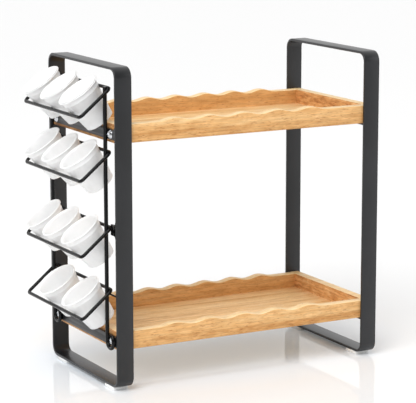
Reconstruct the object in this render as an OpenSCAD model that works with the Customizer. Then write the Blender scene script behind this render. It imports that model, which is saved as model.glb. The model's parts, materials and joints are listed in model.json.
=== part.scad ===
// Coffee station organizer: two wavy-edged wooden trays between two flat-bar side frames,
// with a four-tier wire rack for single-serve coffee pods on the outside of the left frame.
// +Z is up, the front is towards -Y, and the long side runs along X.
// The origin is in the middle of the base of the whole outline, on the surface it stands on.

/* [Side frames] */
// Length over the two side frames, without the pod rack
span_l = 336; // [300:1:400]
// Height of the opening between the upper tray's boards and the top of the frames
handle_h = 62; // [40:0.5:100]
// Width of the flat bar
bar_w = 20; // [18:0.5:26]
// Thickness of the flat bar
bar_t = 3; // [2:0.5:4]
// Outer radius of the frame's corners
frame_corner_r = 12; // [8:1:20]
// Height of a foot pad
foot_h = 4; // [2:0.5:8]
// Length of a foot pad
foot_l = 24; // [16:1:40]
// Radius of a foot pad's corners
foot_corner_r = 4; // [2:0.5:6]

/* [Crossbars] */
// Height of a crossbar
crossbar_h = 11; // [9:0.5:14]
// Thickness of a crossbar
crossbar_t = 3.5; // [2:0.5:5]
// Height of a crossbar's lower edge above the underside of its tray
crossbar_lift = 4; // [0:0.5:5]
// Radius of the flares where crossbars and tabs meet the frame
flare_r = 3; // [1:0.5:4]

/* [Trays] */
// Height of the lower tray's underside above the foot of the frames
lower_tray_z = 43; // [30:0.5:60]
// Height of the boards where their top edge is straight
tray_h = 20.5; // [18:0.5:24]
// Thickness of the boards
board_t = 11; // [8:0.5:14]
// Thickness of the floor panels
floor_t = 4; // [3:0.5:5]
// Gap between a tray and the uprights in front of it and behind it
tray_gap = 0.3; // [0.1:0.1:1]
// Height of the waves above the straight stretches
wave_rise = 3.2; // [1:0.1:6]
// Number of waves on a front board
front_wave_count = 5; // [3:1:6]
// Distance between the crests of a front board
front_wave_pitch = 43; // [36:1:46]
// Place of the front boards' waves along X, from the middle of the tray
front_wave_shift = -7; // [-10:1:10]
// Number of waves on a rear board
rear_wave_count = 7; // [3:1:7]
// Distance between the crests of a rear board
rear_wave_pitch = 38; // [30:1:40]
// Place of the rear boards' waves along X, from the middle of the tray
rear_wave_shift = -8.5; // [-10:0.5:10]
// Length of a support tab under a tray's corner, along Y
support_tab_l = 15; // [8:1:20]
// Width of a support tab
support_tab_w = 12; // [8:1:14]
// Thickness of a support tab
support_tab_t = 2; // [1:0.5:3]

/* [Screws] */
// Diameter of a domed screw head
screw_head_d = 10.5; // [8:0.5:11]
// Height of a domed screw head
screw_head_h = 3; // [2:0.5:4]
// Diameter of a screw's shank
screw_shank_d = 4; // [3:0.5:5]
// Depth to which a screw goes into the wood
screw_bite = 7; // [4:0.5:7.5]

/* [Pods] */
// Diameter of a pod's rim
pod_rim_d = 49.5; // [44:0.5:54]
// Height of a pod
pod_h = 43.5; // [38:0.5:44]
// Diameter of a pod's bottom
pod_bottom_d = 33.3; // [30:0.1:35]
// Thickness of a pod's rim
pod_rim_t = 1.2; // [0.8:0.1:2]
// Width of the rim beyond the body
pod_rim_w = 2.3; // [1.5:0.1:3]
// Height of the straight band under the rim
pod_band_h = 6; // [3:0.5:8]
// Depth of the step under the band
pod_step = 0.5; // [0.2:0.1:1]
// Thickness of a pod's wall
pod_wall = 1.2; // [0.8:0.1:1.6]
// Thickness of a sealing lid
lid_t = 0.6; // [0.3:0.1:1]
// Gap between the rims of two neighbouring pods
pod_gap = 0.3; // [0.2:0.1:1]
// Tilt of the pods from upright, their mouths outwards
pod_tilt = 35.5; // [34:0.5:40]
// Lean of the pods in a row towards the back
pod_lean = 4.5; // [0:0.5:8]
// Angle by which a pod's way out slants outwards from its own axis, less than its taper
lift_lead = 7; // [4:0.5:7.5]

/* [Pod rack] */
// Tilt of the tiers from level, outer edge down
tier_tilt = 39.5; // [36:0.5:42]
// Height of the rims above the wire loop that holds them
pod_proud = 14.5; // [12:0.5:16]
// Diameter of the loops' wire
loop_wire_d = 3.8; // [2.5:0.1:4.5]
// Radius of the loops' corners, at the middle of the wire
loop_bend_r = 4.5; // [3:0.5:6]
// Diameter of the upright wires
rack_wire_d = 4.5; // [3:0.1:5.5]
// Gap between a pod and the wire that holds it
seat_gap = 0.3; // [0.2:0.1:0.6]
// Room between the last pods of a row and the upright wires
end_room = 0.3; // [0.2:0.1:3]
// Room between the rack's rear end and the upright behind it
side_room = 5; // [4:0.5:30]
// Distance of the rack's middle behind the middle of the frame
rack_shift = 3; // [0:0.5:6]
// Room above the tightest possible step, from the second tier to the first
upper_step_room = 1; // [0.5:0.5:10]
// The same from the third tier to the second
middle_step_room = 14.5; // [0.5:0.5:30]
// The same from the fourth tier to the third
lower_step_room = 1; // [0.5:0.5:10]
// Gap between the first tier's pods and the upper tray's end board
upper_clearance = 0.3; // [0.3:0.1:5]
// Gap between the fourth tier's pods and the lower tray's end board
lower_clearance = 6; // [0.3:0.1:20]
// Distance of the last pod of the fourth tier behind the middle of its loop
loose_pod_shift = 16.5; // [0:0.5:24]
// Angle through which the foot of an upright wire curls round its screw
curl_sweep = 230; // [150:5:260]
// Height of an upright wire's top above its first weld
wire_tip = 5; // [2:0.5:10]
// Height of the tabs beside the third tier
side_tab_h = 12; // [8:0.5:14]
// Thickness of the tabs beside the third tier
side_tab_t = 2.5; // [2:0.5:4]
// Distance of these tabs' middle below the corner of the loop
side_tab_drop = 1.5; // [0:0.5:4]
// Diameter of the stays beside the fourth tier
stay_d = 2; // [1.5:0.1:2.5]
// Gap between a stay and the loop above it
stay_gap = 0.4; // [0.2:0.1:5]

/* [Hidden] */
$fn = 48;
// Air left between parts that are welded or hooked together along a curved line
weld_gap = 0.1;
// Overrun of cuts
over = 1;
// Points along one wave of a board
wave_steps = 14;
// Step to which the loops' worked-out sizes are rounded
cut_step = 0.01;

// Pods: radii, and what lies above and below the loop that holds them
rim_r = pod_rim_d / 2;
bottom_r = pod_bottom_d / 2;
band_r = rim_r - pod_rim_w;
cone_top_r = band_r - pod_step;
cone_h = pod_h - pod_rim_t - pod_band_h;
pod_below = pod_h - pod_proud;
taper = atan((cone_top_r - bottom_r) / cone_h);
pod_r_at_loop = bottom_r + pod_below * tan(taper);
pod_pitch = (pod_rim_d + pod_gap) / cos(pod_lean);

// Loops: half their width to the middle of the wire, and the pods' places in them
loop_r = loop_wire_d / 2;
wire_r = rack_wire_d / 2;
pod_turn = tier_tilt - pod_tilt;
loop_fit_w = (pod_r_at_loop + (loop_r + seat_gap) / cos(taper)) / cos(pod_turn);
loop_half_w = cut_step * round(loop_fit_w / cut_step);
pod_set_down = loop_half_w * sin(pod_turn) * tan(taper);
row_y = rack_shift + pod_below * sin(pod_lean) / 2;

// The rack from the left frame's outer face, which is at zero along X here
wire_x = -wire_r - weld_gap;
loop_inner_x = wire_x + wire_r + loop_r + weld_gap;
loop_x = loop_inner_x - loop_half_w * cos(tier_tilt);
rack_reach = pod_proud * sin(pod_tilt) + (rim_r + pod_set_down) * cos(pod_tilt) - loop_x;

// The loops' half length, from the end pods below the loop, where the upright wires pass them
wire_pass = (wire_x - loop_x) / sin(pod_tilt);
pod_r_at_wire = pod_r_at_loop - wire_pass * tan(taper);
pod_y_at_wire = (wire_pass - pod_below / 2) * sin(pod_lean);
pod_end_y = pod_pitch + pod_r_at_wire + pod_y_at_wire;
loop_fit_l = pod_end_y + end_room + rack_wire_d + weld_gap + loop_r;
loop_half_l = cut_step * round(loop_fit_l / cut_step);
wire_y = loop_half_l - loop_r - wire_r - weld_gap;
curl_r = screw_head_d / 2 + 2 * weld_gap + wire_r;

// The frames' outer faces, with the whole outline centred between the rims and the right screws
outline_l = rack_reach + span_l + screw_head_h;
left_x = rack_reach - outline_l / 2;
right_x = left_x + span_l;

// The frames' depth, from the rack between the uprights
inner_y = loop_half_l + loop_r + rack_shift + side_room;
frame_d = 2 * (inner_y + bar_t);

// Trays
tray_x = left_x + crossbar_t;
tray_l = span_l - 2 * crossbar_t;
tray_d = 2 * (inner_y - tray_gap);
screw_rise = crossbar_lift + crossbar_h / 2;
screw_ys = [rack_shift - wire_y - curl_r, rack_shift + wire_y - curl_r];

// Heights from the bottom up: each tier clears the tray or the tier below it
pod_overhang = (crossbar_t - loop_x) * sin(pod_tilt) * cos(pod_lean);
pod_bottom_drop = (pod_below - pod_overhang + bottom_r * sin(pod_lean)) / cos(pod_tilt) / cos(pod_lean);
least_step = ((rim_r + bottom_r) * cos(lift_lead) + pod_h * sin(lift_lead)) / sin(pod_tilt + lift_lead);
lower_z = foot_h + lower_tray_z;
tier4_z = lower_z + tray_h + pod_bottom_drop + lower_clearance / cos(pod_tilt);
tier3_z = tier4_z + least_step + lower_step_room;
tier2_z = tier3_z + least_step + middle_step_room;
tier1_z = tier2_z + least_step + upper_step_room;
upper_z = tier1_z - tray_h - pod_bottom_drop - upper_clearance / cos(pod_tilt);
tray_zs = [upper_z, lower_z];
frame_h = upper_z - foot_h + tray_h + handle_h;
loop_corner_rise = loop_half_w * sin(tier_tilt);

// A point of an outline in the YZ plane, extruded along X
module along_x(length) {
    rotate([90, 0, 90]) linear_extrude(length) children();
}

// A rectangle with round corners, centred on X and standing on the X axis
module rounded_panel(w, h, r) {
    translate([-w / 2 + r, 0]) square([w - 2 * r, h]);
    translate([-w / 2, r]) square([w, h - 2 * r]);
    for (x = [-w / 2 + r, w / 2 - r], y = [r, h - r]) translate([x, y]) circle(r);
}

// The concave corner between a bar that runs along X and the upright that it meets at zero
module flare() {
    difference() {
        square(flare_r);
        translate([flare_r, flare_r]) circle(flare_r);
    }
}

// The loop of flat bar that makes one side of the stand
module side_frame(x) {
    translate([x, 0, foot_h]) along_x(bar_w) difference() {
        rounded_panel(frame_d, frame_h, frame_corner_r);
        translate([0, bar_t])
            rounded_panel(frame_d - 2 * bar_t, frame_h - 2 * bar_t, frame_corner_r - bar_t);
    }
}

module left_frame() color("#3d3e40") side_frame(left_x);
module right_frame() color("#3d3e40") side_frame(right_x - bar_w);

// A pad under the bottom bar, just inside the frame's corner; side is -1 at the front
module foot(x, side) {
    y = side * (frame_d / 2 - frame_corner_r - foot_l / 2);
    color("white") translate([x, y - foot_l / 2, 0]) linear_extrude(foot_h)
        translate([bar_w / 2, 0]) rounded_panel(bar_w, foot_l, foot_corner_r);
}

module left_front_foot() foot(left_x, -1);
module left_rear_foot() foot(left_x, 1);
module right_front_foot() foot(right_x - bar_w, -1);
module right_rear_foot() foot(right_x - bar_w, 1);

// The flat bar across a frame behind which a tray's end is screwed
module crossbar(x, tray_z) {
    color("#48494b") translate([x, 0, tray_z + crossbar_lift]) difference() {
        along_x(crossbar_t) {
            translate([-inner_y, 0]) square([2 * inner_y, crossbar_h]);
            for (side = [0, 1]) mirror([side, 0]) translate([-inner_y, crossbar_h]) flare();
        }
        for (y = screw_ys) translate([-over, y, crossbar_h / 2]) rotate([0, 90, 0])
            cylinder(d = screw_shank_d + 2 * weld_gap, h = crossbar_t + 2 * over);
    }
}

module left_upper_crossbar() crossbar(left_x, tray_zs[0]);
module left_lower_crossbar() crossbar(left_x, tray_zs[1]);
module right_upper_crossbar() crossbar(right_x - crossbar_t, tray_zs[0]);
module right_lower_crossbar() crossbar(right_x - crossbar_t, tray_zs[1]);

// The four plates on the uprights that a tray's corners stand on
module support_tabs(tray_z) {
    color("#3d3e40")
        for (x = [left_x + bar_w - support_tab_w, right_x - bar_w],
             y = [-inner_y, inner_y - support_tab_l])
            translate([x, y, tray_z - support_tab_t])
                cube([support_tab_w, support_tab_l, support_tab_t]);
}

module upper_support_tabs() support_tabs(tray_zs[0]);
module lower_support_tabs() support_tabs(tray_zs[1]);

// The outline of a long board: straight at both ends, with waves between
module wavy_board(count, pitch, shift) {
    length = tray_l - 2 * board_t;
    start = length / 2 + shift - count * pitch / 2;
    wave = [for (i = [count * wave_steps : -1 : 0])
        [start + i * pitch / wave_steps, tray_h + wave_rise * (1 - cos(360 * i / wave_steps)) / 2]];
    polygon(concat([[0, 0], [length, 0], [length, tray_h]], wave, [[0, tray_h]]));
}

module long_board(tray_z, back_y, count, pitch, shift) {
    color("#e1b276") translate([tray_x + board_t, back_y, tray_z]) rotate([90, 0, 0])
        linear_extrude(board_t) wavy_board(count, pitch, shift);
}

// A board across the tray's end, with the holes that the screws bite into
module end_board(tray_z, x, bore_x) {
    color("#d6a068") difference() {
        translate([x, -tray_d / 2, tray_z]) cube([board_t, tray_d, tray_h]);
        for (y = screw_ys) translate([bore_x, y, tray_z + screw_rise]) rotate([0, 90, 0])
            cylinder(d = screw_shank_d, h = screw_bite + over);
    }
}

module left_board(tray_z) end_board(tray_z, tray_x, tray_x - over);
module right_board(tray_z) end_board(tray_z, tray_x + tray_l - board_t, tray_x + tray_l - screw_bite);

module floor_panel(tray_z) {
    color("#eac292") translate([tray_x + board_t, -tray_d / 2 + board_t, tray_z])
        cube([tray_l - 2 * board_t, tray_d - 2 * board_t, floor_t]);
}

module front_board(tray_z)
    long_board(tray_z, board_t - tray_d / 2, front_wave_count, front_wave_pitch, front_wave_shift);
module rear_board(tray_z)
    long_board(tray_z, tray_d / 2, rear_wave_count, rear_wave_pitch, rear_wave_shift);

module upper_front_board() front_board(tray_zs[0]);
module upper_rear_board() rear_board(tray_zs[0]);
module upper_left_board() left_board(tray_zs[0]);
module upper_right_board() right_board(tray_zs[0]);
module upper_floor() floor_panel(tray_zs[0]);
module lower_front_board() front_board(tray_zs[1]);
module lower_rear_board() rear_board(tray_zs[1]);
module lower_left_board() left_board(tray_zs[1]);
module lower_right_board() right_board(tray_zs[1]);
module lower_floor() floor_panel(tray_zs[1]);

// A screw with its head on the -X side of zero and its shank towards +X
module dome_screw() {
    head_r = screw_head_d / 2;
    dome_r = (head_r * head_r + screw_head_h * screw_head_h) / (2 * screw_head_h);
    rotate([0, 90, 0]) cylinder(d = screw_shank_d, h = crossbar_t + screw_bite);
    intersection() {
        translate([dome_r - screw_head_h, 0, 0]) sphere(dome_r);
        translate([-screw_head_h, 0, 0]) rotate([0, 90, 0])
            cylinder(d = screw_head_d, h = screw_head_h);
    }
}

module left_screws()
    color("silver") for (z = tray_zs, y = screw_ys)
        translate([left_x, y, z + screw_rise]) dome_screw();
module right_screws()
    color("silver") for (z = tray_zs, y = screw_ys)
        translate([right_x, y, z + screw_rise]) mirror([1, 0, 0]) dome_screw();

// An upright wire, straight down from the first tier, its foot curled round the lower screw
module rack_wire(y) {
    foot_z = tray_zs[1] + screw_rise;
    top_z = tier1_z + (wire_x - loop_x) * tan(tier_tilt) + wire_tip;
    color("#2a2b2d") translate([left_x + wire_x, y, foot_z]) {
        cylinder(r = wire_r, h = top_z - foot_z);
        translate([0, -curl_r, 0]) rotate([90, 0, 90]) mirror([0, 1, 0])
            rotate_extrude(angle = curl_sweep) translate([curl_r, 0]) circle(wire_r);
    }
}

module rack_front_wire() rack_wire(rack_shift - wire_y);
module rack_rear_wire() rack_wire(rack_shift + wire_y);

// The flared tabs from the uprights to the corners of the third loop
module rack_side_tabs() {
    tab_z = tier3_z + loop_corner_rise - side_tab_drop - side_tab_h / 2;
    rack_end = loop_half_l + loop_r + weld_gap;
    color("#2a2b2d") for (side = [0, 1]) mirror([0, side, 0])
        translate([left_x, -inner_y, tab_z]) along_x(side_tab_t) {
            square([inner_y - rack_end + (1 - 2 * side) * rack_shift, side_tab_h]);
            translate([0, side_tab_h]) flare();
            mirror([0, 1]) flare();
        }
}

// The thin rods from the uprights past the upright wires, clear of the fourth loop's sloping plane
module rack_stays() {
    loop_plane_z = tier4_z + (stay_d / 2 - loop_x) * tan(tier_tilt);
    stay_z = loop_plane_z - (loop_r + stay_gap + stay_d / 2) / cos(tier_tilt);
    color("#2a2b2d") for (side = [0, 1]) mirror([0, side, 0])
        translate([left_x + stay_d / 2, -inner_y, stay_z]) rotate([-90, 0, 0])
            cylinder(d = stay_d, h = inner_y - wire_y + wire_r + (1 - 2 * side) * rack_shift);
}

// The rectangular wire loop that a row of pods hangs in: X up the slope, Y along the row
module wire_loop(z) {
    w = loop_half_w - loop_bend_r;
    l = loop_half_l - loop_bend_r;
    color("#2a2b2d") translate([left_x + loop_x, rack_shift, z]) rotate([0, -tier_tilt, 0]) {
        for (side = [-1, 1]) {
            translate([side * loop_half_w, -l, 0]) rotate([-90, 0, 0]) cylinder(r = loop_r, h = 2 * l);
            translate([-w, side * loop_half_l, 0]) rotate([0, 90, 0]) cylinder(r = loop_r, h = 2 * w);
        }
        for (corner = [[w, l, 0], [-w, l, 90], [-w, -l, 180], [w, -l, 270]])
            translate([corner[0], corner[1], 0]) rotate([0, 0, corner[2]])
                rotate_extrude(angle = 90) translate([loop_bend_r, 0]) circle(loop_r);
    }
}

module tier1_loop() wire_loop(tier1_z);
module tier2_loop() wire_loop(tier2_z);
module tier3_loop() wire_loop(tier3_z);
module tier4_loop() wire_loop(tier4_z);

// Places its children where a pod crosses its loop's plane, with Z along the pod
module at_pod(z, y, lean) {
    translate([left_x + loop_x, y, z]) rotate([0, -pod_tilt, 0]) translate([-pod_set_down, 0, 0])
        rotate([-lean, 0, 0]) children();
}

// A tapered cup with a flat rim and a straight band under it
module pod(z, y, lean = pod_lean) {
    rim_under_z = pod_proud - pod_rim_t;
    band_under_z = rim_under_z - pod_band_h;
    color("#f4f4f2") at_pod(z, y, lean) rotate_extrude() polygon([
        [0, -pod_below], [bottom_r, -pod_below], [cone_top_r, band_under_z],
        [band_r, band_under_z], [band_r, rim_under_z], [rim_r, rim_under_z],
        [rim_r, pod_proud], [band_r - pod_wall, pod_proud], [band_r - pod_wall, band_under_z],
        [cone_top_r - pod_wall, band_under_z], [bottom_r - pod_wall, pod_wall - pod_below],
        [0, pod_wall - pod_below]]);
}

// The disc that seals a full pod
module lid(z, y) {
    color("#fbfbfa") at_pod(z, y, pod_lean) translate([0, 0, pod_proud])
        cylinder(r = rim_r - pod_rim_t, h = lid_t);
}

module tier1_front_pod() pod(tier1_z, row_y - pod_pitch);
module tier1_middle_pod() pod(tier1_z, row_y);
module tier1_rear_pod() pod(tier1_z, row_y + pod_pitch);
module tier1_front_lid() lid(tier1_z, row_y - pod_pitch);
module tier1_middle_lid() lid(tier1_z, row_y);
module tier1_rear_lid() lid(tier1_z, row_y + pod_pitch);
module tier2_front_pod() pod(tier2_z, row_y - pod_pitch);
module tier2_middle_pod() pod(tier2_z, row_y);
module tier2_rear_pod() pod(tier2_z, row_y + pod_pitch);
module tier3_front_pod() pod(tier3_z, row_y - pod_pitch);
module tier3_middle_pod() pod(tier3_z, row_y);
module tier3_rear_pod() pod(tier3_z, row_y + pod_pitch);
module tier4_front_pod() pod(tier4_z, row_y - pod_pitch);
module tier4_rear_pod() pod(tier4_z, rack_shift + loose_pod_shift, 0);

left_frame();
right_frame();
left_front_foot();
left_rear_foot();
right_front_foot();
right_rear_foot();
left_upper_crossbar();
left_lower_crossbar();
right_upper_crossbar();
right_lower_crossbar();
upper_support_tabs();
lower_support_tabs();
upper_front_board();
upper_rear_board();
upper_left_board();
upper_right_board();
upper_floor();
lower_front_board();
lower_rear_board();
lower_left_board();
lower_right_board();
lower_floor();
left_screws();
right_screws();
rack_front_wire();
rack_rear_wire();
rack_side_tabs();
rack_stays();
tier1_loop();
tier2_loop();
tier3_loop();
tier4_loop();
tier1_front_pod();
tier1_middle_pod();
tier1_rear_pod();
tier1_front_lid();
tier1_middle_lid();
tier1_rear_lid();
tier2_front_pod();
tier2_middle_pod();
tier2_rear_pod();
tier3_front_pod();
tier3_middle_pod();
tier3_rear_pod();
tier4_front_pod();
tier4_rear_pod();
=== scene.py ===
import json
import math

import bpy
from mathutils import Matrix, Vector


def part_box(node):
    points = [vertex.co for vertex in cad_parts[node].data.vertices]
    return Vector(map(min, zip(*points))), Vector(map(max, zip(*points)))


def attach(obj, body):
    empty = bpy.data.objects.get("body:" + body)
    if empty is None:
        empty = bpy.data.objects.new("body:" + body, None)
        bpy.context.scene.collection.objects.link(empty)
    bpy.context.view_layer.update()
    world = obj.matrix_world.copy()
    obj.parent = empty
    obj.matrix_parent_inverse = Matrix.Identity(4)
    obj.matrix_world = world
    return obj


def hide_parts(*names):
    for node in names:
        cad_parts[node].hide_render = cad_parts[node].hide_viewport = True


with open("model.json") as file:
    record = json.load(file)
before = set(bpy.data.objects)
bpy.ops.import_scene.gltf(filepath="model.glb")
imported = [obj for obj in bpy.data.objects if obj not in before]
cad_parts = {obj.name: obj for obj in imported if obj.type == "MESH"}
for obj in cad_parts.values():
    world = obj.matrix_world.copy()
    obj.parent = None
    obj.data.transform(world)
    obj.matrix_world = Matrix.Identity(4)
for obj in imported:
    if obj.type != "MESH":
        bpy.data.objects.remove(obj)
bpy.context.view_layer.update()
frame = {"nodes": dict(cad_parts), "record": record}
nodeNames = sorted(frame["nodes"])
nodeBody = {
    node: body
    for body, members in frame["record"]["behaviour"]["bodies"].items()
    for node in members
}
mm = 0.001
print("frame loaded,", len(nodeNames), "nodes")


# Camera: the photograph's place, with a long lens about 2.3 m away
cameraPlace = {
    "azimuth": -28.32,
    "elevation": 10.81,
    "roll": -0.06,
    "distance": 2290 * mm,
    "lens": 171.35,
    "sensor": 36,
    "clip": (0.05, 60),
    "aim": Vector((12.9, 0, 185.3)) * mm,
}


def addCamera(place):
    turn, rise = math.radians(place["azimuth"]), math.radians(place["elevation"])
    back = Vector((math.sin(turn) * math.cos(rise), -math.cos(turn) * math.cos(rise), math.sin(rise)))
    bpy.ops.object.camera_add(location=place["aim"] + back * place["distance"])
    camera = bpy.context.object
    camera.rotation_mode = "QUATERNION"
    roll = Matrix.Rotation(math.radians(place["roll"]), 3, "Z").to_quaternion()
    camera.rotation_quaternion = (-back).to_track_quat("-Z", "Y") @ roll
    camera.data.lens = place["lens"]
    camera.data.sensor_width = place["sensor"]
    camera.data.clip_start, camera.data.clip_end = place["clip"]
    bpy.context.scene.camera = camera


addCamera(cameraPlace)
print("camera placed")


# Small tools for nodes and meshes


def linear(hexCode):
    # an sRGB hex colour as the linear one that a socket takes
    values = [int(hexCode[i:i + 2], 16) / 255 for i in (1, 3, 5)]
    return [v / 12.92 if v <= 0.04045 else ((v + 0.055) / 1.055) ** 2.4 for v in values] + [1]


def addNode(tree, kind, settings={}, inputs={}, links={}):
    node = tree.nodes.new(kind)
    for name, value in settings.items():
        setattr(node, name, value)
    for name, value in inputs.items():
        node.inputs[name].default_value = value
    for name, socket in links.items():
        tree.links.new(socket, node.inputs[name])
    return node


def newMaterial(name):
    material = bpy.data.materials.new(name)
    material.use_nodes = True
    material.node_tree.nodes.clear()
    return material


def finishShader(tree, inputs, links):
    shader = addNode(tree, "ShaderNodeBsdfPrincipled", inputs=inputs, links=links)
    addNode(tree, "ShaderNodeOutputMaterial", links={"Surface": shader.outputs["BSDF"]})


def millimetresOf(tree, turn=(0, 0, 0)):
    place = addNode(tree, "ShaderNodeTexCoord")
    turned = addNode(
        tree, "ShaderNodeMapping", links={"Vector": place.outputs["Object"]},
        inputs={"Scale": (1 / mm,) * 3, "Rotation": [math.radians(a) for a in turn]})
    return turned.outputs["Vector"]


def noiseOf(tree, millimetres, size, detail=2, roughness=0.5, distortion=0, shift=0, offset=0):
    # size is the width of one blotch in millimetres along each axis
    scaled = addNode(
        tree, "ShaderNodeVectorMath", {"operation": "MULTIPLY_ADD"},
        links={0: millimetres}, inputs={1: [1 / s for s in size], 2: [shift + offset] * 3})
    texture = addNode(
        tree, "ShaderNodeTexNoise", links={"Vector": scaled.outputs["Vector"]},
        inputs={"Scale": 1, "Detail": detail, "Roughness": roughness, "Distortion": distortion})
    return texture.outputs["Fac"]


def mathOf(tree, operation, *values, clamp=False):
    node = addNode(tree, "ShaderNodeMath", {"operation": operation, "use_clamp": clamp})
    for index, value in enumerate(values):
        if isinstance(value, (int, float)):
            node.inputs[index].default_value = value
        else:
            tree.links.new(value, node.inputs[index])
    return node.outputs["Value"]


def weightedSum(tree, patterns, weights):
    total = mathOf(tree, "MULTIPLY", patterns[0], weights[0])
    for pattern, weight in zip(patterns[1:], weights[1:]):
        total = mathOf(tree, "ADD", total, mathOf(tree, "MULTIPLY", pattern, weight))
    return total


def awayFromMiddle(tree, noise, contrast):
    # a noise lies round a half, and this turns it into a change to both sides of zero
    return mathOf(tree, "MULTIPLY", mathOf(tree, "SUBTRACT", noise, 0.5), contrast)


def variedRoughness(tree, pattern, middle, spread):
    return mathOf(tree, "MULTIPLY_ADD", pattern, spread, middle - spread / 2)


def rampOf(tree, factor, places, colours):
    # a colour is a hex code, or a number for a grey
    node = addNode(tree, "ShaderNodeValToRGB", links={"Fac": factor})
    ramp = node.color_ramp
    while len(ramp.elements) < len(places):
        ramp.elements.new(0.5)
    for element, place, colour in zip(ramp.elements, places, colours):
        element.position = place
        element.color = linear(colour) if isinstance(colour, str) else (colour, colour, colour, 1)
    return node.outputs["Color"]


def bumpOf(tree, height, distance, strength=1):
    node = addNode(
        tree, "ShaderNodeBump", links={"Height": height},
        inputs={"Distance": distance * mm, "Strength": strength})
    return node.outputs["Normal"]


def selectOnly(piece):
    bpy.ops.object.select_all(action="DESELECT")
    piece.select_set(True)
    bpy.context.view_layer.objects.active = piece


def applyModifiers(piece):
    selectOnly(piece)
    for modifier in list(piece.modifiers):
        bpy.ops.object.modifier_apply(modifier=modifier.name)


def joinPieces(pieces, name):
    bpy.ops.object.select_all(action="DESELECT")
    for piece in pieces:
        piece.select_set(True)
    bpy.context.view_layer.objects.active = pieces[0]
    bpy.ops.object.join()
    joined = bpy.context.object
    joined.name = name
    return joined


def linkedCopy(source, name):
    piece = bpy.data.objects.new(name, source.data.copy())
    bpy.context.scene.collection.objects.link(piece)
    return piece


def paint(piece, *materials):
    piece.data.materials.clear()
    for material in materials:
        piece.data.materials.append(material)


def replaceNode(piece, node):
    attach(piece, nodeBody[node])
    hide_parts(node)


# Materials

frameSteel = {
    "colour": "#1a1b1d",
    "worn": "#232427",
    "roughness": 0.34,
    "grit": 0.9,  # one grain of the coat, mm, drawn coarser than a real one so that it shows
    "shine": 0.55,
}
wireSteel = {
    "colour": "#0a0a0b",
    "worn": "#121213",
    "roughness": 0.18,
    "grit": 0.7,  # unevenness of the dipped paint, mm
    "shine": 0.22,
}
coatLook = {
    "cloud": 60,  # width of the faint changes of tone, mm
    "cloudStops": (0.35, 0.7),
    "roughSpread": 0.08,
    "gritDepth": 0.01,
    "ior": 1.5,
}


def coatedSteel(name, look):
    # Powder-coated mild steel: baked matte charcoal with a fine grain and a soft, wide sheen.
    # The rack's wires are dipped instead, which leaves them darker and glossier
    material = newMaterial(name)
    tree = material.node_tree
    place = millimetresOf(tree)
    cloud = noiseOf(tree, place, (coatLook["cloud"],) * 3, detail=3)
    grain = noiseOf(tree, place, (look["grit"],) * 3, detail=1)
    colour = rampOf(tree, cloud, coatLook["cloudStops"], (look["colour"], look["worn"]))
    rough = variedRoughness(tree, grain, look["roughness"], coatLook["roughSpread"])
    normal = bumpOf(tree, grain, coatLook["gritDepth"])
    finishShader(
        tree, {"IOR": coatLook["ior"], "Specular IOR Level": look["shine"]},
        {"Base Color": colour, "Roughness": rough, "Normal": normal})
    return material


frameCoat = coatedSteel("powderCoatedSteel", frameSteel)
wireCoat = coatedSteel("glossDippedSteelWire", wireSteel)

# Sizes in millimetres along and across the grain; the shifts keep the layers from repeating each other
woodGrain = {
    # slow change of tone along a board
    "broad": {"size": (150, 12, 12), "detail": 2, "distortion": 0.4},
    # growth rings cut lengthwise
    "bands": {"size": (210, 3.4, 3.4), "detail": 4, "roughness": 0.6, "distortion": 0.6, "shift": 3.1},
    # short figure, as in rubberwood
    "mottle": {"size": (15, 4.5, 4.5), "detail": 3, "roughness": 0.6, "distortion": 0.3, "shift": 5.7},
    # fibre bundles, drawn coarser than real ones so that they show
    "fibre": {"size": (20, 1.2, 1.2), "detail": 2, "roughness": 0.6, "shift": 9.2},
    # open vessels, drawn wider than real ones so that they show
    "pores": {"size": (6, 0.9, 0.9), "detail": 1, "shift": 12.4},
}
woodLook = {
    "weights": (0.3, 0.35, 0.35),  # of the broad tones, the bands and the mottle
    "toneStops": (0.34, 0.5, 0.66),
    "fibreContrast": 0.7,
    "poreStops": (0.6, 0.7),
    "poreDepth": 0.5,
    "poreColour": "#b98a5c",
    "seamWander": 3.0,  # how far a seam between strips strays, mm
    "seamFade": 1.2,  # how fast the wood darkens below it, for each mm
    "seamShade": 0.09,
    "fibreRelief": 0.6,
    "relief": (0.06, 0.6),  # depth in mm, and strength
    "roughness": 0.5,
    "ior": 1.5,
    "shine": 0.35,
}


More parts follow.
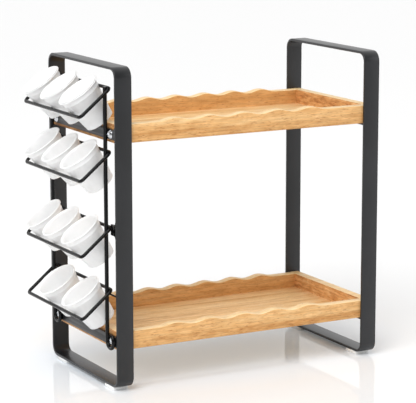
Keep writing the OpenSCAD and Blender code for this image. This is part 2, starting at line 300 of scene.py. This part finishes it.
def lacqueredWood(name, tones, turn=(0, 0, 0), offset=0, seam=None, **changes):
    # Rubberwood under a thin matte lacquer: honey-coloured and open-pored,
    # with short dark flecks along the grain
    look = {**woodLook, **changes}
    material = newMaterial(name)
    tree = material.node_tree
    place = millimetresOf(tree, turn)
    grain = {layer: noiseOf(tree, place, offset=offset, **noise) for layer, noise in woodGrain.items()}
    tone = weightedSum(tree, (grain["broad"], grain["bands"], grain["mottle"]), look["weights"])
    if seam is not None:
        # the board is glued up from two strips, and the lower one is darker
        level = addNode(tree, "ShaderNodeSeparateXYZ", links={"Vector": place}).outputs["Z"]
        wander = awayFromMiddle(tree, grain["broad"], look["seamWander"])
        below = mathOf(tree, "SUBTRACT", seam, mathOf(tree, "ADD", level, wander))
        strip = mathOf(tree, "MULTIPLY", below, look["seamFade"], clamp=True)
        tone = mathOf(tree, "SUBTRACT", tone, mathOf(tree, "MULTIPLY", strip, look["seamShade"]))
    colour = rampOf(tree, tone, look["toneStops"], tones)
    fine = mathOf(tree, "ADD", awayFromMiddle(tree, grain["fibre"], look["fibreContrast"]), 1)
    fibreMix = addNode(tree, "ShaderNodeHueSaturation", links={"Color": colour, "Value": fine})
    vessel = rampOf(tree, grain["pores"], look["poreStops"], (0, 1))
    poreMix = addNode(
        tree, "ShaderNodeMixRGB", {"blend_type": "MULTIPLY"}, {"Color2": linear(look["poreColour"])},
        {"Fac": mathOf(tree, "MULTIPLY", vessel, look["poreDepth"]), "Color1": fibreMix.outputs["Color"]})
    fibreHeight = mathOf(tree, "MULTIPLY", grain["fibre"], look["fibreRelief"])
    normal = bumpOf(tree, mathOf(tree, "SUBTRACT", fibreHeight, vessel), *look["relief"])
    finishShader(
        tree, {"IOR": look["ior"], "Roughness": look["roughness"], "Specular IOR Level": look["shine"]},
        {"Base Color": poreMix.outputs["Color"], "Normal": normal})
    return material


endGrainLook = {
    "rings": {"size": (30, 9, 1.6), "detail": 3, "roughness": 0.6, "distortion": 0.8},
    "dots": {"size": (20, 0.9, 0.9), "detail": 1},
    "weights": (0.75, 0.25),
    "toneStops": (0.36, 0.5, 0.64),
    "relief": (0.05, 0.5),  # depth in mm, and strength
    "roughness": 0.6,
    "ior": 1.5,
    "shine": 0.3,
}


def endGrainWood(name, tones, look):
    # Cross-cut rubberwood: darker, with fine rings and dots in place of lengthwise fibres
    material = newMaterial(name)
    tree = material.node_tree
    place = millimetresOf(tree)
    rings = noiseOf(tree, place, **look["rings"])
    dots = noiseOf(tree, place, **look["dots"])
    colour = rampOf(tree, weightedSum(tree, (rings, dots), look["weights"]), look["toneStops"], tones)
    finishShader(
        tree, {"IOR": look["ior"], "Roughness": look["roughness"], "Specular IOR Level": look["shine"]},
        {"Base Color": colour, "Normal": bumpOf(tree, dots, *look["relief"])})
    return material


# Dark, middle and light tone of each kind of board
frontTones = ("#c78f52", "#dfae72", "#ecc48d")
# the rear boards' tones are darker than the front boards', painted shade for the shade that falls inside
# the trays
rearShadedTones = ("#b98349", "#d19d60", "#e0b278")
sideTones = ("#8f5526", "#d29a5f", "#f2ca94")
floorTones = ("#c28744", "#f1c78b", "#fde0b4")
# the tops' tones are paler than the faces', a painted highlight for the light that falls on the tops
topLightTones = ("#e2b981", "#f0d09c", "#f9e1b8")
endTones = ("#a8713d", "#c48d55", "#d6a36c")
alongY = (0, 0, -90)  # turns the grain to the end boards' length
endWood = endGrainWood("rubberwoodEndGrain", endTones, endGrainLook)
# painted highlight: the pale wood that every upward face of a board gets
topLightWood = lacqueredWood("rubberwoodSandedEdge", topLightTones, offset=90, poreDepth=0.25)
# painted shade: the rear boards get a darker copy of the front boards' wood
rearShadedWood = lacqueredWood("rubberwoodRearBoard", rearShadedTones, offset=20)
sideWood = lacqueredWood("rubberwoodSideBoard", sideTones, alongY, offset=40, weights=(0.25, 0.25, 0.5))
floorWood = lacqueredWood(
    "rubberwoodFloor", floorTones, offset=60, weights=(0.35, 0.45, 0.2), poreDepth=0.3)

# A depth is how far light spreads inside the plastic, and grit the width of its skin's pattern, both in mm
podLook = {
    "colour": "#fbfbfb", "shade": "#f7f8f8", "roughness": 0.32, "depth": 4.0, "spread": 0.5, "grit": 1.5}
padLook = {
    "colour": "#f6f6f5", "shade": "#ececea", "roughness": 0.45, "depth": 3.0, "spread": 0.2, "grit": 0.8}
lidLook = {
    "colour": "#fbfbfa", "shade": "#f8f8f7", "roughness": 0.4, "depth": 1.0, "spread": 0.2, "grit": 6}
plasticLook = {
    "flow": 14,  # width of the faint streaks that the melt leaves, mm
    "flowStops": (0.4, 0.6),
    "roughSpread": 0.08,
    "gritDepth": 0.008,
    "ior": 1.49,
}


def mouldedPlastic(name, look):
    # Injection-moulded polypropylene: opaque white with a soft gloss and a faint flow pattern.
    # The silicone pads and the lids' film are alike, but duller and with less light inside them
    material = newMaterial(name)
    tree = material.node_tree
    place = millimetresOf(tree)
    flow = noiseOf(tree, place, (plasticLook["flow"],) * 3)
    skin = noiseOf(tree, place, (look["grit"],) * 3, detail=1)
    colour = rampOf(tree, flow, plasticLook["flowStops"], (look["shade"], look["colour"]))
    rough = variedRoughness(tree, flow, look["roughness"], plasticLook["roughSpread"])
    normal = bumpOf(tree, skin, plasticLook["gritDepth"])
    finishShader(
        tree,
        {"IOR": plasticLook["ior"], "Subsurface Weight": look["spread"],
         "Subsurface Radius": (1, 1, 1), "Subsurface Scale": look["depth"] * mm},
        {"Base Color": colour, "Roughness": rough, "Normal": normal})
    return material


podPlastic = mouldedPlastic("polypropylenePod", podLook)
padSilicone = mouldedPlastic("siliconePad", padLook)
lidFilm = mouldedPlastic("laminatedLidFilm", lidLook)

chromeLook = {
    "colour": "#d3d5d8",
    "roughness": 0.14,
    "roughSpread": 0.12,
    "scratch": 0.8,  # width of the hairlines, mm
    "scratchShape": (1, 6, 1),  # they run along the object's depth
}


def chromePlate(name, look):
    # Chrome-plated steel: a bright mirror, a little dulled by handling
    material = newMaterial(name)
    tree = material.node_tree
    place = millimetresOf(tree)
    scratch = noiseOf(tree, place, [look["scratch"] * s for s in look["scratchShape"]])
    rough = variedRoughness(tree, scratch, look["roughness"], look["roughSpread"])
    finishShader(tree, {"Metallic": 1, "Base Color": linear(look["colour"])}, {"Roughness": rough})
    return material


screwChrome = chromePlate("chromePlatedSteel", chromeLook)
print("materials made")


# Pieces that keep their CAD outline but get softened edges

softenRules = {
    "merge": 0.002 * mm,
    "flat": math.radians(0.1),  # faces that meet at less than this become one
    "sharp": math.radians(30),  # edges sharper than this are bevelled
    "smooth": math.radians(40),
}


def softenedCopy(node, name, width, segments, share=None):
    # share gives the part of the width that an edge gets, from its direction
    piece = linkedCopy(frame["nodes"][node], name)
    selectOnly(piece)
    bpy.ops.object.mode_set(mode="EDIT")
    bpy.ops.mesh.select_all(action="SELECT")
    bpy.ops.mesh.remove_doubles(threshold=softenRules["merge"])
    bpy.ops.mesh.dissolve_limited(angle_limit=softenRules["flat"])
    bpy.ops.object.mode_set(mode="OBJECT")
    mesh = piece.data
    weight = mesh.attributes.new("bevel_weight_edge", "FLOAT", "EDGE")
    faces = {}
    for polygon in mesh.polygons:
        for key in polygon.edge_keys:
            faces.setdefault(key, []).append(polygon.normal)
    for edge in mesh.edges:
        sides = faces.get(tuple(sorted(edge.vertices)), [])
        if len(sides) != 2 or sides[0].angle(sides[1]) < softenRules["sharp"]:
            continue
        start, end = (mesh.vertices[v].co for v in edge.vertices)
        weight.data[edge.index].value = share((end - start).normalized()) if share else 1
    bevel = piece.modifiers.new("softEdges", "BEVEL")
    bevel.limit_method = "WEIGHT"
    bevel.width = width * mm
    bevel.segments = segments
    bevel.use_clamp_overlap = True
    applyModifiers(piece)
    bpy.ops.object.shade_smooth_by_angle(angle=softenRules["smooth"])
    return piece


def addSoftened(node, ending, edges, material):
    piece = softenedCopy(node, node + ending, edges["round"], edges["segments"])
    paint(piece, material)
    replaceNode(piece, node)


frameEdges = {"round": 0.7, "segments": 3}
for node in ("left_frame", "right_frame"):
    addSoftened(node, "_coated", frameEdges, frameCoat)

crossbarEdges = {"round": 0.5, "segments": 2}
for node in [n for n in nodeNames if n.endswith("_crossbar")]:
    addSoftened(node, "_coated", crossbarEdges, frameCoat)

tabEdges = {"round": 0.35, "segments": 2}
for node in ("upper_support_tabs", "lower_support_tabs"):
    addSoftened(node, "_coated", tabEdges, frameCoat)
addSoftened("rack_side_tabs", "_coated", tabEdges, wireCoat)

padEdges = {"round": 1.1, "segments": 4}
for node in [n for n in nodeNames if n.endswith("_foot")]:
    addSoftened(node, "_pad", padEdges, padSilicone)
print("frames, crossbars, tabs and pads softened")


# Trays

boardEdges = {
    "round": 1.0,
    "segments": 3,
    "jointShare": 0.2,  # the boards' ends, where they meet, are only eased
    "lengthwise": 0.6,  # how far along the board an edge runs before it counts as a long one
    "seamHeight": 9.5 * mm,  # where the front boards' two strips meet, above the tray's underside
    "topSlope": 0.6,  # an upward normal from which a face gets paler wood, a painted highlight for the light that falls on the tops
    "endSlope": 0.9,  # a lengthwise normal from which a face shows end grain
}
floorEdges = {"round": 0.2, "segments": 2}


def addBoard(node, axis, faceWood, edges):
    def share(direction):
        return 1 if abs(direction[axis]) > edges["lengthwise"] else edges["jointShare"]

    piece = softenedCopy(node, node + "_wood", edges["round"], edges["segments"], share)
    paint(piece, faceWood, endWood, topLightWood)
    for polygon in piece.data.polygons:
        # faces that look upward get the pale wood, as painted light on the tops
        paintedTopLight = 2 if polygon.normal.z > edges["topSlope"] else 0
        polygon.material_index = 1 if abs(polygon.normal[axis]) > edges["endSlope"] else paintedTopLight
    replaceNode(piece, node)


for tray, offset in (("upper", 0), ("lower", 80)):
    seam = (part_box(tray + "_front_board")[0].z + boardEdges["seamHeight"]) / mm
    frontWood = lacqueredWood("rubberwoodFrontBoard_" + tray, frontTones, offset=offset, seam=seam)
    addBoard(tray + "_front_board", 0, frontWood, boardEdges)
    addBoard(tray + "_rear_board", 0, rearShadedWood, boardEdges)
    addBoard(tray + "_left_board", 1, sideWood, boardEdges)
    addBoard(tray + "_right_board", 1, sideWood, boardEdges)
    addSoftened(tray + "_floor", "_wood", floorEdges, floorWood)
print("trays made")


# Turned pieces: pods, lids and screws, in millimetres and degrees

turnedSmooth = math.radians(35)
turnedMiddle = 1.0  # radius of the small face that closes a turned piece, mm


def turnedPiece(name, profile, sides):
    # profile is (radius, height), from the underside's middle out and up to the top's middle
    bpy.ops.object.select_all(action="DESELECT")
    bpy.ops.mesh.primitive_circle_add(
        vertices=sides, radius=profile[0][0] * mm, fill_type="NGON", location=(0, 0, profile[0][1] * mm))
    piece = bpy.context.object
    piece.name = name
    bpy.ops.object.transform_apply()
    bpy.ops.object.mode_set(mode="EDIT")
    bpy.ops.mesh.select_all(action="SELECT")
    for (radius, height), (nextRadius, nextHeight) in zip(profile, profile[1:]):
        bpy.ops.mesh.extrude_region_move(
            TRANSFORM_OT_translate={"value": (0, 0, (nextHeight - height) * mm)})
        grow = nextRadius / radius
        bpy.ops.transform.resize(value=(grow, grow, 1), center_override=(0, 0, 0))
    bpy.ops.mesh.select_all(action="SELECT")
    bpy.ops.mesh.normals_make_consistent(inside=False)
    bpy.ops.object.mode_set(mode="OBJECT")
    return piece


def arcPoints(centre, radius, start, stop, count):
    # points of a round corner, with its angles measured from straight out
    turns = [math.radians(start + (stop - start) * i / count) for i in range(count + 1)]
    return [(centre[0] + radius * math.cos(a), centre[1] + radius * math.sin(a)) for a in turns]


def placedCopy(master, name, turn, target):
    # a copy of a piece that stands at the origin, turned and then centred on a box
    piece = linkedCopy(master, name)
    piece.data.transform(turn)
    points = [v.co for v in piece.data.vertices]
    low = Vector([min(p[i] for p in points) for i in range(3)])
    high = Vector([max(p[i] for p in points) for i in range(3)])
    piece.data.transform(Matrix.Translation((target[0] + target[1]) / 2 - (low + high) / 2))
    selectOnly(piece)
    bpy.ops.object.shade_smooth_by_angle(angle=turnedSmooth)
    return piece


podShape = {
    "sides": 72,
    "rim": 24.75,
    "rimThick": 1.2,
    "rimEase": 0.5,
    "band": 22.45,
    "bandHeight": 6.0,
    "step": 0.5,
    "stepShares": (0.5, 0.3, 0.7),  # of the step's width, which round it off
    "bottom": 16.65,
    "height": 43.5,
    "wall": 1.2,
    "heel": 1.2,
    "foot": 0.8,  # height of the underside's hollow
    "footRing": 0.8,
    "footSlope": 0.8,
    "lipWidth": 2.65,  # of the mouth's rounded edge, from the rim in to the wall
    "lipDepth": 4.2,
    "floorRound": 6.0,
    "heelSteps": 4,
    "rimSteps": 6,
    "mouthSteps": 8,
    "floorSteps": 8,
    "tilt": 35.5,
    "lean": 4.5,  # of the pods in a row, towards the back
}


def podProfile(shape):
    top, wall, step = shape["height"], shape["wall"], shape["step"]
    rimUnder = top - shape["rimThick"]
    bandUnder = rimUnder - shape["bandHeight"]
    coneTop = shape["band"] - step
    taper = math.atan((coneTop - shape["bottom"]) / bandUnder)
    slope = math.degrees(taper)

    heelMiddle = shape["bottom"] - shape["heel"]
    ring = heelMiddle - shape["footRing"]
    below, beside, above = (share * step for share in shape["stepShares"])
    outside = [(ring - shape["footSlope"], shape["foot"]), (ring, 0)]
    outside += arcPoints((heelMiddle, shape["heel"]), shape["heel"], -90, -slope, shape["heelSteps"])
    outside += [(coneTop, bandUnder - below), (coneTop + beside, bandUnder)]
    outside += [(shape["band"], bandUnder + above), (shape["band"], rimUnder - shape["rimEase"])]
    outside += [(shape["band"] + shape["rimEase"], rimUnder)]

    lip = shape["rimThick"] / 2
    rim = arcPoints((shape["rim"] - lip, rimUnder + lip), lip, -90, 90, shape["rimSteps"])

    mouth = []
    for count in range(shape["mouthSteps"] + 1):
        turn = math.radians(90 * count / shape["mouthSteps"])
        inward, down = shape["lipWidth"] * math.sin(turn), shape["lipDepth"] * (1 - math.cos(turn))
        mouth.append((shape["band"] - wall + shape["lipWidth"] - inward, top - down))

    bend = shape["floorRound"]
    bendMiddle = shape["bottom"] - wall + bend * (math.tan(taper) - 1 / math.cos(taper))
    inside = [(coneTop - wall, bandUnder)]
    inside += arcPoints((bendMiddle, wall + bend), bend, -slope, -90, shape["floorSteps"])
    return outside + rim + mouth + inside + [(turnedMiddle, wall)]


podMaster = turnedPiece("podMaster", podProfile(podShape), podShape["sides"])
podTilt = Matrix.Rotation(math.radians(-podShape["tilt"]), 4, "Y")
podTurn = podTilt @ Matrix.Rotation(math.radians(-podShape["lean"]), 4, "X")
for node in [n for n in nodeNames if n.endswith("_pod")]:
    turn = podTilt if node == "tier4_rear_pod" else podTurn
    piece = placedCopy(podMaster, node + "_cup", turn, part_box(node))
    paint(piece, podPlastic)
    replaceNode(piece, node)
bpy.data.objects.remove(podMaster)

lidShape = {
    "sides": 72,
    "radius": 23.55,
    "thick": 0.6,
    "edgeSteps": 4,
    "seal": 2.2,  # width of the raised ring that is sealed to the rim
    "sealSlope": 0.5,
    "crown": 0.25,  # how deep the film sinks inside the ring
    "crownShares": (0.5, 0.6),  # of the radius and of the crown, for the film's rise to its middle
}


def lidProfile(shape):
    thick, edge = shape["thick"], shape["thick"] / 2
    under = [(turnedMiddle, 0), (shape["radius"] - edge, 0)]
    rim = arcPoints((shape["radius"] - edge, edge), edge, -90, 90, shape["edgeSteps"])[1:]
    ring = shape["radius"] - shape["seal"]
    low = thick - shape["crown"]
    out, up = shape["crownShares"]
    top = [(ring, thick), (ring - shape["sealSlope"], low)]
    top += [(shape["radius"] * out, low + shape["crown"] * up), (turnedMiddle, thick)]
    return under + rim + top


lidMaster = turnedPiece("lidMaster", lidProfile(lidShape), lidShape["sides"])
for node in [n for n in nodeNames if n.endswith("_lid")]:
    piece = placedCopy(lidMaster, node + "_film", podTurn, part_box(node))
    paint(piece, lidFilm)
    replaceNode(piece, node)
bpy.data.objects.remove(lidMaster)
print("pods and lids made")

screwShape = {
    "sides": 40,
    "head": 5.25,
    "rise": 3.0,
    "edge": 0.5,  # the straight edge under the dome
    "domeSteps": 8,
    "domeEnd": 89,  # where the dome's arc stops short of its middle, in degrees
    "shank": 2.0,
    "shankLength": 10.5,
    "tip": (0.4, 0.5),  # the shank's bevelled end
    "socket": 1.75,  # corner radius of the hexagon socket
    "socketDepth": 1.6,
}


def screwProfile(shape):
    high = shape["rise"] - shape["edge"]
    dome = (shape["head"] ** 2 + high ** 2) / (2 * high)
    half = math.degrees(math.asin(shape["head"] / dome))
    top = arcPoints((0, shape["rise"] - dome), dome, 90 - half, shape["domeEnd"], shape["domeSteps"])
    tipWidth, tipLength = shape["tip"]
    shank = [(shape["shank"] - tipWidth, -shape["shankLength"])]
    shank += [(shape["shank"], tipLength - shape["shankLength"]), (shape["shank"], 0)]
    return shank + [(shape["head"], 0)] + top


def addScrewHead(shape):
    # the socket's cutter stands half above the dome, so it is twice as long as the socket is deep
    head = turnedPiece("screwMaster", screwProfile(shape), shape["sides"])
    bpy.ops.object.select_all(action="DESELECT")
    bpy.ops.mesh.primitive_cylinder_add(
        vertices=6, radius=shape["socket"] * mm, depth=shape["socketDepth"] * 2 * mm,
        location=(0, 0, shape["rise"] * mm))
    cutter = bpy.context.object
    bpy.ops.object.transform_apply()
    cut = head.modifiers.new("socket", "BOOLEAN")
    cut.operation = "DIFFERENCE"
    cut.object = cutter
    applyModifiers(head)
    bpy.data.objects.remove(cutter)
    return head


def addScrews(node, outward, master, shape):
    low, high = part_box(node)
    radius = shape["head"] * mm
    turn = Matrix.Rotation(math.radians(90 * outward), 4, "Y")
    copies = []
    for y in (low.y + radius, high.y - radius):
        for z in (low.z + radius, high.z - radius):
            target = (Vector((low.x, y - radius, z - radius)), Vector((high.x, y + radius, z + radius)))
            copies.append(placedCopy(master, node + "_part", turn, target))
    piece = joinPieces(copies, node + "_chrome")
    paint(piece, screwChrome)
    replaceNode(piece, node)


screwMaster = addScrewHead(screwShape)
addScrews("left_screws", -1, screwMaster, screwShape)
addScrews("right_screws", 1, screwMaster, screwShape)
bpy.data.objects.remove(screwMaster)
print("screws made")


# Rack: the CAD wires stay, and each joint of a loop with an upright wire gets a weld bead

wireNodes = [n for n in nodeNames if n.endswith("_wire") or n.endswith("_loop") or n == "rack_stays"]
for node in wireNodes:
    paint(frame["nodes"][node], wireCoat)

beadShape = {
    "size": (1.9, 2.3, 1.7),
    "lumps": 0.25,
    "evenness": 0.2,
    "smoothing": (0.5, 3),  # strength and number of rounds
    "seed": 4,
}


def addBead(place, shape, seed):
    bpy.ops.object.select_all(action="DESELECT")
    bpy.ops.mesh.primitive_ico_sphere_add(subdivisions=3, radius=mm, location=(0, 0, 0))
    bead = bpy.context.object
    strength, rounds = shape["smoothing"]
    bpy.ops.object.mode_set(mode="EDIT")
    bpy.ops.mesh.select_all(action="SELECT")
    bpy.ops.transform.vertex_random(offset=shape["lumps"] * mm, uniform=shape["evenness"], seed=seed)
    bpy.ops.mesh.vertices_smooth(factor=strength, repeat=rounds)
    bpy.ops.transform.resize(value=shape["size"], center_override=(0, 0, 0))
    bpy.ops.object.mode_set(mode="OBJECT")
    bead.data.transform(Matrix.Translation(place))
    return bead


def addBeads(name, places, shape):
    beads = [addBead(place, shape, shape["seed"] + index) for index, place in enumerate(places)]
    piece = joinPieces(beads, name)
    bpy.ops.object.shade_smooth()
    paint(piece, wireCoat)
    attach(piece, "stand")


weldPlaces = []
for tier in (1, 2, 3, 4):
    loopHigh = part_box("tier%d_loop" % tier)[1]
    for wire in ("rack_front_wire", "rack_rear_wire"):
        wireLow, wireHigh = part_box(wire)
        wireRadius, loopRadius = (wireHigh.x - wireLow.x) / 2, (loopHigh.x - wireHigh.x) / 2
        weldPlaces.append(Vector((wireHigh.x, wireHigh.y - wireRadius, loopHigh.z - loopRadius)))
addBeads("rack_weld_beads", weldPlaces, beadShape)
print("rack finished")


# Studio: white glossy table, white room, a broad window light from the upper left, and two weak soft lamps

tableLook = {
    "colour": "#f8f8f8",
    "gloss": 0.2,
    "glossRoughness": 0.05,
    "lift": 0.06,  # a glow that only the camera sees, which keeps the ground white
    "size": 60.0,
    "shaded": (20, 30),  # middle of the painted patch on the ground under the trays, mm
    "shadedReach": (270, 170),
    "shadedStops": (0.45, 1.0),  # shares of the reach, between which it fades out
    "shadedColour": "#e2eefa",  # a cool tint painted into the trays' shadow, which evens out the wood's warm bounce there
    # a glow painted into the trays' shadow, which lightens it
    "shadedLift": 0.08,
}


def addTable(look):
    bpy.ops.object.select_all(action="DESELECT")
    bpy.ops.mesh.primitive_plane_add(size=look["size"], location=(0, 0, 0))
    table = bpy.context.object
    table.name = "table"
    bpy.ops.object.transform_apply()
    # White acrylic sheet: bright and even, with a faint mirror image of what stands on it, and with a cool
    # tint and a glow painted into the shadow under the trays
    material = newMaterial("whiteAcrylicTable")
    tree = material.node_tree
    ray = addNode(tree, "ShaderNodeLightPath")
    across, deep = look["shadedReach"]
    middle = (-look["shaded"][0] / across, -look["shaded"][1] / deep, 0)
    outward = addNode(
        tree, "ShaderNodeVectorMath", {"operation": "MULTIPLY_ADD"},
        links={0: millimetresOf(tree)}, inputs={1: (1 / across, 1 / deep, 0), 2: middle})
    length = addNode(
        tree, "ShaderNodeVectorMath", {"operation": "LENGTH"}, links={0: outward.outputs["Vector"]})
    # painted light: a patch under the trays where a cool tint and a glow are painted into the shadow
    shaded = rampOf(tree, length.outputs["Value"], look["shadedStops"], (1, 0))
    colour = addNode(
        tree, "ShaderNodeMixRGB", links={"Fac": shaded},
        inputs={"Color1": linear(look["colour"]), "Color2": linear(look["shadedColour"])})
    # the glow that keeps the ground white, plus the glow painted into the trays' shadow
    lift = mathOf(tree, "ADD", mathOf(tree, "MULTIPLY", shaded, look["shadedLift"]), look["lift"])
    plain = addNode(tree, "ShaderNodeBsdfDiffuse", links={"Color": colour.outputs["Color"]})
    mirror = addNode(tree, "ShaderNodeBsdfGlossy", inputs={"Roughness": look["glossRoughness"]})
    coated = addNode(
        tree, "ShaderNodeMixShader", inputs={"Fac": look["gloss"]},
        links={1: plain.outputs["BSDF"], 2: mirror.outputs["BSDF"]})
    glow = addNode(tree, "ShaderNodeEmission", links={"Strength": lift})
    seen = addNode(
        tree, "ShaderNodeAddShader", links={0: coated.outputs["Shader"], 1: glow.outputs["Emission"]})
    shown = addNode(
        tree, "ShaderNodeMixShader",
        links={"Fac": ray.outputs["Is Camera Ray"], 1: coated.outputs["Shader"], 2: seen.outputs["Shader"]})
    addNode(tree, "ShaderNodeOutputMaterial", links={"Surface": shown.outputs["Shader"]})
    paint(table, material)


roomLook = {
    "strength": 0.62,  # of the light that the room throws on the pieces
    "seen": 1.0,
    "dark": 0.16,  # of the room's unlit side, as glossy pieces mirror it
    "darkSide": (-0.466, -0.865, 0.188),  # where the unlit side lies, in front and to the left
    "darkStops": (0.0, 0.55),
}


def addRoom(look):
    world = bpy.data.worlds.new("whiteRoom")
    world.use_nodes = True
    world.node_tree.nodes.clear()
    tree = world.node_tree
    ray = addNode(tree, "ShaderNodeLightPath")
    place = addNode(tree, "ShaderNodeTexCoord").outputs["Generated"]
    toward = addNode(
        tree, "ShaderNodeVectorMath", {"operation": "DOT_PRODUCT"},
        links={0: place}, inputs={1: look["darkSide"]})
    mirrored = rampOf(tree, toward.outputs["Value"], look["darkStops"], (look["seen"], look["dark"]))
    seen = mathOf(tree, "MAXIMUM", ray.outputs["Is Camera Ray"], ray.outputs["Is Transmission Ray"])
    extra = mathOf(tree, "MULTIPLY", seen, look["seen"] - look["strength"])
    strength = mathOf(tree, "ADD", look["strength"], extra)
    change = mathOf(tree, "SUBTRACT", mirrored, strength)
    glossy = mathOf(tree, "MULTIPLY", ray.outputs["Is Glossy Ray"], change)
    strength = mathOf(tree, "ADD", strength, glossy)
    back = addNode(
        tree, "ShaderNodeBackground", inputs={"Color": (1, 1, 1, 1)}, links={"Strength": strength})
    addNode(tree, "ShaderNodeOutputWorld", links={"Surface": back.outputs["Background"]})
    bpy.context.scene.world = world


def addLight(name, kind, place, toward):
    bpy.ops.object.light_add(type=kind, location=place)
    lamp = bpy.context.object
    lamp.name = name
    lamp.rotation_mode = "QUATERNION"
    lamp.rotation_quaternion = (toward - Vector(place)).to_track_quat("-Z", "Y")
    return lamp.data


sunLook = {"from": (-0.62, -0.42, 0.86), "strength": 1.6, "spread": 50}
lampLook = {
    "key": {"place": (-1.1, -1.0, 1.6), "size": 0.9, "power": 9},
    "fill": {"place": (1.6, -1.4, 1.0), "size": 1.2, "power": 4},
}
addTable(tableLook)
addRoom(roomLook)
window = addLight("windowLight", "SUN", sunLook["from"], Vector((0, 0, 0)))
window.energy = sunLook["strength"]
window.angle = math.radians(sunLook["spread"])
for name, look in lampLook.items():
    lamp = addLight(name, "AREA", look["place"], cameraPlace["aim"])
    lamp.size = look["size"]
    lamp.energy = look["power"]
bpy.context.scene.view_settings.view_transform = "Standard"
print("studio lit")
